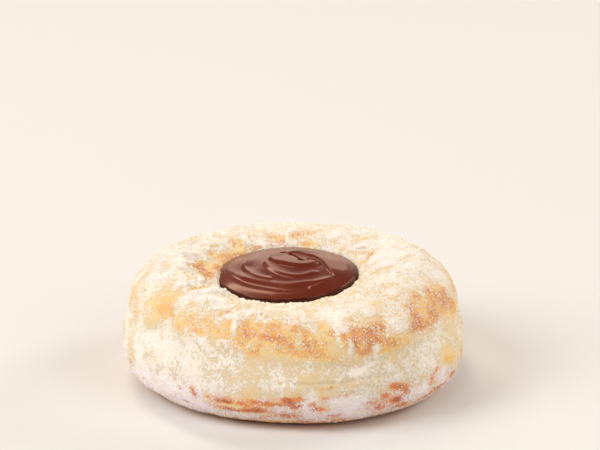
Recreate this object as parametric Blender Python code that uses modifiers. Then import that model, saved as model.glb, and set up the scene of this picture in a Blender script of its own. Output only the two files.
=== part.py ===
"""A filled ring doughnut at real size: fried dough with a well in its middle, and the chocolate
cream piped into that well and swirled to a small curl.

Units are metres, +Z is up, and the origin is under the middle of the doughnut on the surface that
it rests on. The front of the doughnut is towards -Y.
"""

import math

import bpy
import numpy as np

MM = 0.001

# Driving sizes of the dough, in millimetres.
DOUGH_RADIUS = 44.4
CREST_HEIGHT = 30.8
CREST_RADIUS = 30.5
FOOT_RADIUS = 29.0
BAND_HEIGHT = 11.0
WAIST_HEIGHT = 18.6

# Driving sizes of the well and the cream in it, in millimetres.
WELL_RADIUS = 18.4
WELL_EDGE_HEIGHT = 26.9
WELL_FLOOR_HEIGHT = 9.5
WELL_OFFSET_X = -1.6
LEAN_TO_FRONT = 0.045
LEAN_TO_LEFT = 0.03
CREAM_GAP = 0.3
CREAM_RISE = 3.1
SWIRL_PITCH = 4.7
RIDGE_RISE = 1.0

# Faces round the axis.
DOUGH_STEPS = 112
CREAM_STEPS = 80

DOUGH_COLOUR = (0.80, 0.55, 0.29)
CREAM_COLOUR = (0.17, 0.045, 0.022)


def smooth_step(value, low, high):
    """0 below low, 1 above high, and an even S curve between them."""
    share = np.clip((value - low) / (high - low), 0.0, 1.0)
    return share * share * (3.0 - 2.0 * share)


def rounded_outline(stations, pieces):
    """A Catmull-Rom curve through the stations, each span cut into that many pieces."""
    points = np.array(stations, float)
    ends = np.vstack([2 * points[0] - points[1], points, 2 * points[-1] - points[-2]])
    outline = [points[0]]
    for i, count in enumerate(pieces):
        before, start, stop, after = ends[i : i + 4]
        for t in np.arange(1, count + 1) / count:
            bend = (2 * before - 5 * start + 4 * stop - after) * t**2
            turn = (-before + 3 * start - 3 * stop + after) * t**3
            outline.append(0.5 * (2 * start + (stop - before) * t + bend + turn))
    outline = np.array(outline)
    outline[[0, -1], 0] = 0.0
    return outline


def turned(name, outline, steps):
    """The outline of radius and height, in millimetres, turned round the Z axis with a Screw modifier."""
    profile = bpy.data.meshes.new(name + "_profile")
    points = [(radius, 0.0, height) for radius, height in outline]
    edges = [(i, i + 1) for i in range(len(points) - 1)]
    profile.from_pydata(points, edges, [])
    lathe = bpy.data.objects.new(name + "_lathe", profile)
    bpy.context.scene.collection.objects.link(lathe)
    screw = lathe.modifiers.new("turn", "SCREW")
    screw.steps = screw.render_steps = steps
    screw.use_merge_vertices = True
    screw.merge_threshold = 0.00001
    graph = bpy.context.evaluated_depsgraph_get()
    mesh = bpy.data.meshes.new_from_object(lathe.evaluated_get(graph))
    mesh.name = name
    bpy.data.objects.remove(lathe)
    bpy.data.meshes.remove(profile)
    return mesh


def reshaped(mesh, shape):
    """Every vertex moved by shape(x, y, z), which works in millimetres, and then scaled to metres."""
    flat = np.empty(len(mesh.vertices) * 3)
    mesh.vertices.foreach_get("co", flat)
    x, y, z = flat.reshape(-1, 3).T
    moved = np.stack(shape(x, y, z), axis=1) * MM
    mesh.vertices.foreach_set("co", moved.ravel())
    mesh.update()
    return mesh


def angle_gap(angle, middle_degrees):
    """The signed angle from a direction given in degrees, in radians, between -pi and pi."""
    return (angle - math.radians(middle_degrees) + math.pi) % (2 * math.pi) - math.pi


# The hand-pressed look of the dough: soft puckers run out from the well. Each is its direction in
# degrees round the axis, its width in degrees and its depth in millimetres.
PUCKERS = (
    (-122, 6, 0.9),
    (-100, 9, 0.5),
    (-76, 8, 0.6),
    (-52, 7, 0.8),
    (-24, 10, 0.5),
    (4, 8, 0.6),
    (24, 7, 0.9),
    (46, 6, 0.7),
    (72, 9, 0.5),
    (101, 8, 0.6),
    (128, 7, 0.8),
    (152, 8, 0.6),
    (176, 6, 0.8),
    (-157, 7, 0.9),
    (-139, 7, 0.5),
)


def pucker_depth(angle, radius, height):
    """How far the puckers sink the top: deepest by the well, gone before the widest part."""
    depth = np.zeros_like(angle)
    for direction, width, fall in PUCKERS:
        depth += fall * np.exp(-((angle_gap(angle, direction) / math.radians(width)) ** 2))
    near_well = smooth_step(radius, WELL_RADIUS - 1.0, WELL_RADIUS + 3.0)
    fades_out = 1.0 - smooth_step(radius, 26.0, 41.0)
    return depth * near_well * fades_out * smooth_step(height, 18.0, 26.0)


def settled(x, y, z):
    """The lopsidedness that dough and cream share: the well lies off the middle and leans to the front."""
    radius = np.hypot(x, y)
    near_well = 1.0 - smooth_step(radius, WELL_RADIUS, 40.0)
    share = (1.0 - smooth_step(radius, WELL_RADIUS, 30.0)) * smooth_step(z, 4.0, 24.0)
    lean = share * (LEAN_TO_LEFT * x + LEAN_TO_FRONT * y)
    return x + WELL_OFFSET_X * near_well, y, z + lean


def dough_shape(x, y, z):
    """The turned dough made uneven: an outline a little out of round, a wavy waist, lumps and puckers."""
    angle = np.arctan2(y, x)
    radius = np.hypot(x, y)
    outer = smooth_step(radius, 22.0, 42.0)
    oval = 1.0 + outer * (
        -0.014 * np.sin(2 * angle)
        - 0.008 * np.cos(2 * angle)
        - 0.017 * np.sin(3 * angle)
        - 0.006 * np.cos(3 * angle)
        + 0.003 * np.sin(5 * angle + 1.0)
        + 0.002 * np.cos(9 * angle)
    )
    waist = smooth_step(radius, 40.0, 42.0) * np.exp(-(((z - WAIST_HEIGHT) / 6.0) ** 2))
    wave = waist * (0.9 * np.sin(2 * angle + 0.6) + 0.5 * np.sin(5 * angle))
    ring = smooth_step(z, 14.0, 28.0) * smooth_step(radius, WELL_RADIUS + 1.0, 30.0)
    saddle = 1.2 * np.cos(2 * angle) + 0.5 * np.sin(2 * angle)
    lumps = ring * (saddle + 0.3 * np.sin(3 * angle + 2.1) + 0.25 * np.sin(7 * angle + 0.5))
    x, y, z = x * oval, y * oval, z + wave + lumps - pucker_depth(angle, radius, z)
    return settled(x, y, z)


def make_dough():
    """The whole dough, turned in one piece: the well, the crest, the side with its waist, and the foot."""
    wall = WELL_RADIUS
    floor = WELL_FLOOR_HEIGHT
    stations = (
        (0.0, floor),
        (wall * 0.50, floor + 0.8),
        (wall * 0.80, floor + 4.6),
        (wall * 0.93, floor + 10.5),
        (wall, WELL_EDGE_HEIGHT - 0.6),
        (wall + 3.1, WELL_EDGE_HEIGHT + 1.6),
        (CREST_RADIUS - 4.9, CREST_HEIGHT - 0.5),
        (CREST_RADIUS, CREST_HEIGHT),
        (CREST_RADIUS + 4.4, CREST_HEIGHT - 1.3),
        (DOUGH_RADIUS - 4.8, CREST_HEIGHT - 5.0),
        (DOUGH_RADIUS - 2.2, WAIST_HEIGHT + 3.4),
        (DOUGH_RADIUS - 1.7, WAIST_HEIGHT),
        (DOUGH_RADIUS - 0.4, BAND_HEIGHT + 3.6),
        (DOUGH_RADIUS, BAND_HEIGHT),
        (DOUGH_RADIUS - 0.5, BAND_HEIGHT - 4.4),
        (DOUGH_RADIUS - 2.9, BAND_HEIGHT - 7.9),
        (DOUGH_RADIUS - 7.2, 0.8),
        (FOOT_RADIUS, 0.0),
        (0.0, 0.0),
    )
    pieces = (1, 2, 2, 2, 2, 2, 2, 2, 2, 3, 2, 2, 2, 2, 2, 1, 1, 1)
    outline = rounded_outline(stations, pieces)
    outline[:, 1] = np.maximum(outline[:, 1], 0.0)
    return reshaped(turned("dough", outline, DOUGH_STEPS), dough_shape)


# The cream's last stroke: the swirl's middle, where its curl ends, and the slit that the spoon left
# behind it, in millimetres from the middle of the well.
SWIRL_MIDDLE = (1.3, 2.2)
CURL_TIP = (7.4, 3.4)
SLIT = ((3.6, 2.9), (-1.2, 7.0))


def distance_to_line(x, y, start, stop):
    """How far points lie from the stretch between start and stop."""
    along = np.array(stop) - np.array(start)
    share = ((x - start[0]) * along[0] + (y - start[1]) * along[1]) / (along @ along)
    share = np.clip(share, 0.0, 1.0)
    return np.hypot(x - start[0] - share * along[0], y - start[1] - share * along[1])


def swirl_height(x, y):
    """The cream's top above its edge: a dome, a spiral ridge with a steep outer side, a curl, a slit."""
    reach = np.clip(np.hypot(x, y) / (WELL_RADIUS - CREAM_GAP), 0.0, 1.0)
    dome = CREAM_RISE * (1.0 - reach**3.0)
    from_middle = np.hypot(x - SWIRL_MIDDLE[0], y - SWIRL_MIDDLE[1])
    turn = np.arctan2(y - SWIRL_MIDDLE[1], x - SWIRL_MIDDLE[0]) / (2 * math.pi)
    phase = ((from_middle - 6.0) / SWIRL_PITCH + turn) % 1.0
    rise = smooth_step(phase, 0.3, 1.0) ** 1.5
    ridge = np.where(phase < 0.3, 1.0 - smooth_step(phase, 0.0, 0.3), rise)
    strength = smooth_step(from_middle, 2.0, 5.0) * (1.0 - smooth_step(reach, 0.78, 0.93))
    curl = 0.8 * np.exp(-(np.hypot(x - CURL_TIP[0], y - CURL_TIP[1]) ** 2) / 2.4)
    slit = 0.7 * np.exp(-(distance_to_line(x, y, *SLIT) ** 2) / 1.1)
    return dome + RIDGE_RISE * ridge * strength + curl - slit


def cream_shape(x, y, z):
    """The turned plug given its swirled top. The top was turned as a flat disc at the well's edge
    height, and its rings are first pulled over, so that they run round the swirl's own middle."""
    top = z >= WELL_EDGE_HEIGHT - 0.01
    reach = np.hypot(x, y) / (WELL_RADIUS - CREAM_GAP)
    pull = np.where(top, 1.0 - reach**2, 0.0)
    x = x + SWIRL_MIDDLE[0] * pull
    y = y + SWIRL_MIDDLE[1] * pull
    z = np.where(top, z + swirl_height(x, y), z)
    return settled(x, y, z)


def make_cream():
    """The cream as a plug that fills the well, a small gap inside its wall, with the swirl on top."""
    edge = WELL_RADIUS - CREAM_GAP
    wall = WELL_RADIUS
    floor = WELL_FLOOR_HEIGHT + CREAM_GAP
    top = [(radius, WELL_EDGE_HEIGHT) for radius in np.linspace(0.0, edge - 0.4, 24)]
    stations = (
        (edge, WELL_EDGE_HEIGHT - 0.7),
        (wall * 0.93 - CREAM_GAP, floor + 10.5),
        (wall * 0.80 - CREAM_GAP, floor + 4.8),
        (wall * 0.50 - CREAM_GAP, floor + 1.0),
        (0.0, floor + 0.1),
    )
    plug = rounded_outline(stations, (2, 2, 2, 1))
    plug[0] = stations[0]
    return reshaped(turned("cream", np.vstack([top, plug]), CREAM_STEPS), cream_shape)


def finish(colour, roughness, name):
    """A plain Principled surface of one colour."""
    material = bpy.data.materials.new(name)
    material.use_nodes = True
    shader = material.node_tree.nodes["Principled BSDF"]
    shader.inputs["Base Color"].default_value = (*colour, 1.0)
    shader.inputs["Roughness"].default_value = roughness
    shader.inputs["Metallic"].default_value = 0.0
    return material


def placed(mesh, material, collection):
    """An object of the mesh, smooth-shaded, in the collection."""
    thing = bpy.data.objects.new(mesh.name, mesh)
    mesh.materials.append(material)
    mesh.shade_smooth()
    collection.objects.link(thing)
    return thing


def main():
    for old in list(bpy.data.objects):
        bpy.data.objects.remove(old)
    collection = bpy.data.collections.new("doughnut")
    bpy.context.scene.collection.children.link(collection)
    placed(make_dough(), finish(DOUGH_COLOUR, 0.75, "fried_dough"), collection)
    placed(make_cream(), finish(CREAM_COLOUR, 0.22, "chocolate_cream"), collection)


main()
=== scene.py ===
"""The looks of a ring doughnut whose well is filled with chocolate cream: fried dough, the sugar that it
was rolled in, and the swirled cream. Metres, +Z up, the front towards -Y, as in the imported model."""

import itertools
import math

import bpy
import numpy as np
from mathutils import Euler, Matrix


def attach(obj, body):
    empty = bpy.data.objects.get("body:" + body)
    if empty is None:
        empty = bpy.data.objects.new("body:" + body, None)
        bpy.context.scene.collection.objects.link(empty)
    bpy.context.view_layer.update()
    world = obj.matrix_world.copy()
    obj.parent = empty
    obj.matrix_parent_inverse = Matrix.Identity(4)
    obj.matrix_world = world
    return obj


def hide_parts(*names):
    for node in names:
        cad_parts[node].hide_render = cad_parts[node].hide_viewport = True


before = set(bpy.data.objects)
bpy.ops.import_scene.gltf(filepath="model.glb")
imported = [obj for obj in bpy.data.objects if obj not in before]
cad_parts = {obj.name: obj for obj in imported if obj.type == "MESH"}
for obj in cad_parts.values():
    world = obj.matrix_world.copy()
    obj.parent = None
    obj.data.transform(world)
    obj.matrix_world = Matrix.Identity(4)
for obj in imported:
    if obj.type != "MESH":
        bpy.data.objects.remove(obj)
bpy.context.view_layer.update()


# The camera stands 21 degrees above the table, in front of the doughnut, with a long lens. It aims over
# the doughnut and slightly to its right, so that the doughnut sits low in the frame.
VIEW_ELEVATION = 21.0
VIEW_DISTANCE = 0.720
SIGHTED_HEIGHT = 0.013
LENS = 166.8
SENSOR_WIDTH = 36.0
AIMED_UP = 2.03
TURNED_RIGHT = 0.15

camera = bpy.data.objects.new("camera", bpy.data.cameras.new("camera"))
camera.data.lens = LENS
camera.data.sensor_width = SENSOR_WIDTH
camera.location = (
    0.0,
    -VIEW_DISTANCE * math.cos(math.radians(VIEW_ELEVATION)),
    SIGHTED_HEIGHT + VIEW_DISTANCE * math.sin(math.radians(VIEW_ELEVATION)),
)
camera.rotation_euler = (math.radians(90.0 - VIEW_ELEVATION + AIMED_UP), 0.0, math.radians(-TURNED_RIGHT))
bpy.context.scene.collection.objects.link(camera)
bpy.context.scene.camera = camera


# The studio: a pale seamless floor, a dim warm surround that keeps the cream dark, and soft boxes. Three
# light the dough from the front. The narrow tilted strip, the box and the backdrop behind it are there
# for the cream to reflect.
FLOOR_COLOUR = (0.80, 0.79, 0.77)
FLOOR_HALF_WIDTH = 3.0
FLOOR_CORNERS = ((-1, -1), (1, -1), (1, 1), (-1, 1))
FLOOR_ROUGHNESS = 0.8
SURROUND_COLOUR = (1.0, 0.95, 0.89)
SURROUND_STRENGTH = 0.20
SOFT_BOXES = (
    # Name, direction from the doughnut, distance, width, height, turn in degrees, power and colour.
    ("front_left", (-0.74, -0.30, 0.60), 1.4, 0.80, 0.80, 0, 12.8, (1.0, 0.975, 0.955)),
    ("front_right", (0.68, -0.48, 0.55), 1.4, 0.80, 0.80, 0, 5.6, (1.0, 0.96, 0.92)),
    ("front_top", (-0.15, -0.40, 0.90), 1.4, 0.50, 0.50, 0, 2.6, (1.0, 0.96, 0.91)),
    ("back_left", (-0.311, 0.533, 0.786), 1.3, 0.24, 0.80, 21, 5.0, (1.0, 0.84, 0.68)),
    ("back_right", (0.80, 0.42, 0.42), 1.3, 0.50, 0.50, 0, 6.0, (1.0, 0.95, 0.90)),
    ("backdrop", (0.0, 0.96, 0.27), 1.4, 0.80, 0.46, 0, 1.7, (1.0, 0.74, 0.56)),
)

bpy.context.scene.view_settings.view_transform = "Standard"
world = bpy.data.worlds.new("surround")
world.use_nodes = True
surround = world.node_tree.nodes["Background"]
surround.inputs["Color"].default_value = (*SURROUND_COLOUR, 1.0)
surround.inputs["Strength"].default_value = SURROUND_STRENGTH
bpy.context.scene.world = world

for name, direction, distance, width, height, roll, power, colour in SOFT_BOXES:
    box = bpy.data.lights.new(name, "AREA")
    box.shape = "RECTANGLE"
    box.size = width
    box.size_y = height
    box.energy = power
    box.color = colour
    stand = bpy.data.objects.new(name, box)
    towards = np.array(direction) / np.linalg.norm(direction)
    stand.location = towards * distance
    turned_round = math.atan2(towards[1], towards[0]) + math.pi / 2
    facing = Euler((math.acos(towards[2]), 0.0, turned_round)).to_matrix()
    stand.rotation_euler = (facing @ Matrix.Rotation(math.radians(roll), 3, "Z")).to_euler()
    bpy.context.scene.collection.objects.link(stand)

floor_mesh = bpy.data.meshes.new("floor")
floor_corners = [(side * FLOOR_HALF_WIDTH, end * FLOOR_HALF_WIDTH, 0.0) for side, end in FLOOR_CORNERS]
floor_mesh.from_pydata(floor_corners, [], [(0, 1, 2, 3)])
floor = bpy.data.objects.new("floor", floor_mesh)
bpy.context.scene.collection.objects.link(floor)
floor_finish = bpy.data.materials.new("pale_floor")
floor_finish.use_nodes = True
floor_shader = floor_finish.node_tree.nodes["Principled BSDF"]
floor_shader.inputs["Base Color"].default_value = (*FLOOR_COLOUR, 1.0)
floor_shader.inputs["Roughness"].default_value = FLOOR_ROUGHNESS
floor_mesh.materials.append(floor_finish)


# The dough: one ring of yeast dough, fried on both faces, so its top and its foot are brown and the
# band round its middle, which stood out of the fat, stayed pale. The baker pressed the well into it,
# which puckered the ring. Sizes are in millimetres; the outline and its unevenness are the CAD dough's.
MM = 0.001
DOUGH_RADIUS = 44.4
CREST_HEIGHT = 30.8
CREST_RADIUS = 30.5
FOOT_RADIUS = 29.0
BAND_HEIGHT = 11.0
WAIST_HEIGHT = 18.6
WELL_RADIUS = 18.4
WELL_EDGE_HEIGHT = 26.9
WELL_FLOOR_HEIGHT = 9.5
WELL_OFFSET_X = -1.6
LEAN_TO_FRONT = 0.045
LEAN_TO_LEFT = 0.03
CRUST_STEP = 0.44
HIDDEN_STEP = 3.0
ROUND_STEPS = 620

OUTLINE = (
    # Radius, height, and whether the stretch that follows can be seen.
    (0.0, WELL_FLOOR_HEIGHT, False),
    (WELL_RADIUS * 0.50, WELL_FLOOR_HEIGHT + 0.8, False),
    (WELL_RADIUS * 0.80, WELL_FLOOR_HEIGHT + 4.6, False),
    (WELL_RADIUS * 0.93, WELL_FLOOR_HEIGHT + 10.5, False),
    (WELL_RADIUS, WELL_EDGE_HEIGHT - 0.6, True),
    (WELL_RADIUS + 3.1, WELL_EDGE_HEIGHT + 1.6, True),
    (CREST_RADIUS - 4.9, CREST_HEIGHT - 0.5, True),
    (CREST_RADIUS, CREST_HEIGHT, True),
    (CREST_RADIUS + 4.4, CREST_HEIGHT - 1.3, True),
    (DOUGH_RADIUS - 4.8, CREST_HEIGHT - 5.0, True),
    (DOUGH_RADIUS - 2.2, WAIST_HEIGHT + 3.4, True),
    (DOUGH_RADIUS - 1.7, WAIST_HEIGHT, True),
    (DOUGH_RADIUS - 0.4, BAND_HEIGHT + 3.6, True),
    (DOUGH_RADIUS, BAND_HEIGHT, True),
    (DOUGH_RADIUS - 0.5, BAND_HEIGHT - 4.4, True),
    (DOUGH_RADIUS - 2.9, BAND_HEIGHT - 7.9, True),
    (DOUGH_RADIUS - 7.2, 0.8, True),
    (FOOT_RADIUS, 0.0, False),
    (0.0, 0.0, False),
)
CREST_STATION = 7

PUCKERS = (
    # Direction in degrees round the axis, width in degrees and depth.
    (-122, 6, 0.9),
    (-100, 9, 0.5),
    (-76, 8, 0.6),
    (-52, 7, 0.8),
    (-24, 10, 0.5),
    (4, 8, 0.6),
    (24, 7, 0.9),
    (46, 6, 0.7),
    (72, 9, 0.5),
    (101, 8, 0.6),
    (128, 7, 0.8),
    (152, 8, 0.6),
    (176, 6, 0.8),
    (-157, 7, 0.9),
    (-139, 7, 0.5),
)
BROWNED = (
    # Direction in degrees, distance down the skin from the crest, half width, half height, strength.
    # Front left, from the outline to the first crease.
    (-174, 8.0, 2.6, 1.2, 0.25), (-175, 13.0, 2.6, 1.2, 0.25), (-150, 5.0, 2.2, 1.0, 0.25),
    (-142, 6.0, 1.3, 0.9, 0.20), (-145, 9.5, 3.0, 1.6, 0.05), (-144, 12.5, 2.2, 1.4, 0.14),
    (-137, 12.5, 2.8, 1.4, 0.08), (-132, 13.5, 0.9, 1.9, 0.30), (-133, 7.0, 1.5, 1.0, 0.30),
    (-130, 11.0, 1.8, 1.9, 0.25), (-139, 18.0, 1.2, 0.7, 0.25), (-131, 16.0, 2.0, 1.2, 0.25),
    (-125, 13.5, 1.7, 1.2, 0.40), (-119, 12.5, 2.2, 1.4, 0.45), (-124, 10.0, 2.0, 1.1, 0.25),
    (-115, 9.0, 1.1, 1.9, 0.45), (-113, 12.0, 1.2, 1.7, 0.35), (-115, 16.5, 1.7, 1.3, 0.25),
    (-116, 5.5, 1.4, 0.6, 0.50), (-113, 4.0, 0.8, 0.8, 0.45), (-120, 7.0, 1.5, 1.1, 0.25),
    # Front middle, between the two creases.
    (-108, 8.0, 1.2, 1.1, 0.60), (-108, 10.5, 1.5, 2.0, 0.75), (-107, 12.0, 1.6, 1.0, 0.80),
    (-108, 14.0, 1.3, 1.2, 0.50), (-110, 16.0, 1.3, 1.0, 0.35), (-104, 11.0, 0.9, 1.2, 0.80),
    (-102, 14.0, 1.0, 1.7, 0.60), (-104, 16.0, 1.8, 1.0, 0.65), (-106, 5.5, 0.9, 1.1, 0.35),
    (-100, 11.5, 1.6, 0.9, 0.60), (-102, 8.0, 1.5, 1.1, 0.40), (-97, 8.0, 1.5, 1.6, 0.50),
    (-96, 11.5, 1.7, 0.9, 0.75), (-93, 12.0, 1.6, 1.1, 0.75), (-91, 13.5, 1.3, 1.4, 0.65),
    (-94, 14.5, 2.0, 0.9, 0.50), (-89, 8.5, 1.8, 1.5, 0.50), (-88, 4.5, 1.0, 2.0, 0.30),
    (-88, 15.0, 1.7, 0.9, 0.60), (-85, 10.0, 1.2, 1.3, 0.55), (-85, 12.5, 1.4, 1.4, 0.65),
    (-81, 12.0, 1.8, 1.2, 0.95), (-81, 14.5, 2.4, 1.1, 0.65), (-79, 7.0, 1.5, 1.7, 0.30),
    (-76, 9.5, 1.1, 1.4, 0.70), (-78, 12.0, 1.5, 1.2, 0.60), (-78, 15.5, 2.4, 0.9, 0.35),
    # Front right.
    (-72, 10.5, 0.9, 1.4, 0.55), (-67, 9.0, 1.2, 1.2, 0.50), (-68, 11.5, 1.5, 1.2, 0.80),
    (-69, 13.5, 1.7, 1.2, 0.60), (-62, 9.5, 1.9, 1.2, 0.55), (-58, 9.0, 1.5, 1.0, 0.65),
    (-57, 10.5, 1.3, 1.0, 0.55), (-63, 11.0, 1.6, 1.0, 0.65), (-61, 13.0, 1.9, 1.2, 0.90),
    (-64, 14.5, 1.3, 1.2, 0.55), (-67, 15.5, 1.7, 1.1, 0.50), (-55, 14.5, 2.4, 1.1, 0.60),
    (-54, 15.0, 1.0, 0.9, 0.60), (-57, 16.0, 2.3, 1.2, 0.40), (-51, 15.0, 2.0, 1.2, 0.35),
    (-67, 5.5, 1.9, 1.4, 0.25), (-55, 7.0, 1.9, 1.5, 0.25), (-48, 9.0, 1.4, 1.1, 0.30),
    (-45, 13.0, 1.7, 1.1, 0.60), (-42, 13.0, 1.7, 1.2, 0.70), (-38, 13.5, 2.1, 1.5, 0.50),
    (-34, 7.0, 1.3, 1.0, 0.75), (-42, 8.0, 1.9, 1.1, 0.55), (-42, 10.5, 1.7, 1.4, 0.50),
    (-26, 7.0, 1.8, 0.9, 0.65), (-17, 10.5, 2.2, 1.1, 0.60), (-33, 11.0, 2.6, 1.8, 0.50),
    (-33, 13.0, 2.0, 1.4, 0.50), (-24, 13.0, 2.2, 1.5, 0.50), (-17, 15.5, 2.8, 2.0, 0.50),
    (-30, 22.0, 1.8, 1.2, 0.30), (-32, 24.5, 2.6, 1.2, 0.30), (-27, 26.0, 2.4, 1.2, 0.45),
    (-44, 4.0, 1.2, 1.0, 0.30), (-44, 0.0, 0.8, 1.0, 0.30), (-53, 3.5, 1.2, 1.1, 0.22),
    # Round the well and on the far slope.
    (42, -5.0, 2.1, 1.4, 0.40), (44, -10.5, 1.6, 1.5, 0.50), (13, -2.0, 2.2, 1.3, 0.30),
    (24, -8.0, 2.4, 0.9, 0.30), (-179, -7.5, 2.8, 1.2, 1.20), (-154, -2.5, 3.0, 1.0, 0.65),
    (172, -13.0, 2.0, 1.4, 1.40), (151, -8.0, 1.2, 0.8, 0.90), (127, -7.5, 1.2, 2.1, 0.80),
    (146, -13.0, 2.8, 2.0, 0.95), (134, -13.0, 2.0, 1.3, 0.95), (114, -7.0, 1.8, 1.8, 0.50),
    (114, -12.0, 1.5, 1.1, 0.90), (122, -11.5, 1.3, 0.9, 0.50), (101, -7.5, 1.3, 1.7, 0.60),
    (103, -11.5, 1.0, 1.4, 0.60), (93, -11.0, 1.8, 2.1, 0.60), (86, -7.0, 2.3, 2.2, 0.60),
    (77, -5.0, 2.2, 2.1, 0.45), (75, -11.5, 1.8, 1.2, 0.45),
    (149, -10.5, 2.0, 1.2, 0.60), (171, -8.5, 1.4, 0.8, 0.50), (-144, -5.0, 1.6, 0.7, 0.45),
    (-143, 10.5, 4.5, 3.2, -0.10), (-28, 10.0, 5.5, 3.2, 0.42), (-38, 6.0, 4.0, 2.0, 0.22),
    (-20, 13.0, 3.0, 2.4, 0.25),
    (145, -6.5, 1.2, 0.7, 0.60), (123, -8.0, 1.0, 1.6, 0.50), (-165, -9.0, 1.3, 0.7, 0.60),
    (-172, -10.5, 1.7, 1.3, 0.80), (179, -9.5, 1.2, 0.9, 0.70), (-134, 14.2, 1.7, 1.2, 0.25),
    # The sides and the back.
    (-5, 13.0, 3.2, 2.4, 0.55), (1, 9.5, 2.0, 1.6, 0.35), (8, 15.5, 3.0, 1.4, 0.50),
    (13, 11.5, 2.4, 2.2, 0.30), (22, 14.0, 3.6, 1.8, 0.65), (27, 9.0, 2.2, 1.4, 0.35),
    (33, 12.5, 4.4, 2.2, 0.60), (37, 16.5, 2.6, 1.2, 0.40), (46, 13.5, 2.2, 1.4, 0.45),
    (55, 11.0, 3.4, 2.6, 0.55), (60, 15.5, 4.6, 1.4, 0.60), (70, 8.5, 2.0, 2.0, 0.25),
    (76, 13.0, 3.0, 2.0, 0.50), (82, 15.0, 4.2, 1.6, 0.65), (88, 10.5, 2.2, 2.8, 0.30),
    (97, 13.5, 3.8, 1.6, 0.45), (101, 9.5, 2.6, 1.6, 0.50), (108, 15.0, 5.0, 1.6, 0.60),
    (117, 11.5, 3.0, 1.8, 0.40), (126, 14.0, 2.6, 2.2, 0.60), (131, 8.5, 2.0, 1.4, 0.35),
    (138, 12.5, 5.4, 2.0, 0.55), (146, 16.5, 3.0, 1.2, 0.40), (156, 11.5, 2.8, 2.8, 0.50),
    (161, 15.0, 3.4, 1.4, 0.55), (171, 13.0, 2.2, 1.6, 0.30), (177, 15.5, 3.6, 1.4, 0.40),
    (-166, 14.0, 3.4, 1.6, 0.35), (-158, 16.0, 2.4, 1.4, 0.30),
)
BARE = (
    # The same for places that the sugar fell off.
    (-144, 11.0, 5.2, 3.8, 0.74), (-135, -1.0, 5.0, 4.0, 0.14), (-126, 12.5, 5.0, 3.4, 0.30),
    (-114, 11.5, 4.0, 3.2, 0.25),
    (-99, 11.5, 6.5, 4.2, 0.38), (-84, 12.0, 6.5, 4.0, 0.38), (-64, 11.5, 7.0, 4.2, 0.40),
    (-54, 15.0, 5.0, 1.8, 0.25), (-39, 12.0, 6.0, 4.2, 0.38), (-24, 11.0, 6.0, 4.0, 0.35),
    (-16, 15.5, 3.0, 3.0, 0.50), (-30, 24.0, 3.0, 2.4, 0.45), (-34, 7.0, 1.6, 1.2, 0.40),
    (-175, 11.0, 4.0, 4.0, 0.20), (88, -9.0, 5.0, 2.5, 0.25), (-178, -8.0, 4.0, 2.0, 0.50),
    (174, -12.5, 3.0, 2.4, 0.50), (144, -12.5, 5.0, 2.4, 0.45), (-154, -2.0, 4.0, 1.4, 0.35),
    (8, 13.0, 7.0, 3.2, 0.35), (31, 12.5, 7.0, 3.4, 0.38), (56, 13.0, 6.0, 3.0, 0.35),
    (80, 12.5, 7.0, 3.6, 0.38), (104, 12.5, 7.0, 3.4, 0.38), (128, 12.0, 7.0, 3.6, 0.38),
    (152, 12.5, 6.0, 3.2, 0.35), (-102, 30.5, 12.0, 2.4, 0.38), (-103, 28.5, 7.0, 1.6, 0.18),
    (-173, -11.0, 2.6, 1.6, 0.30),
)
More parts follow.
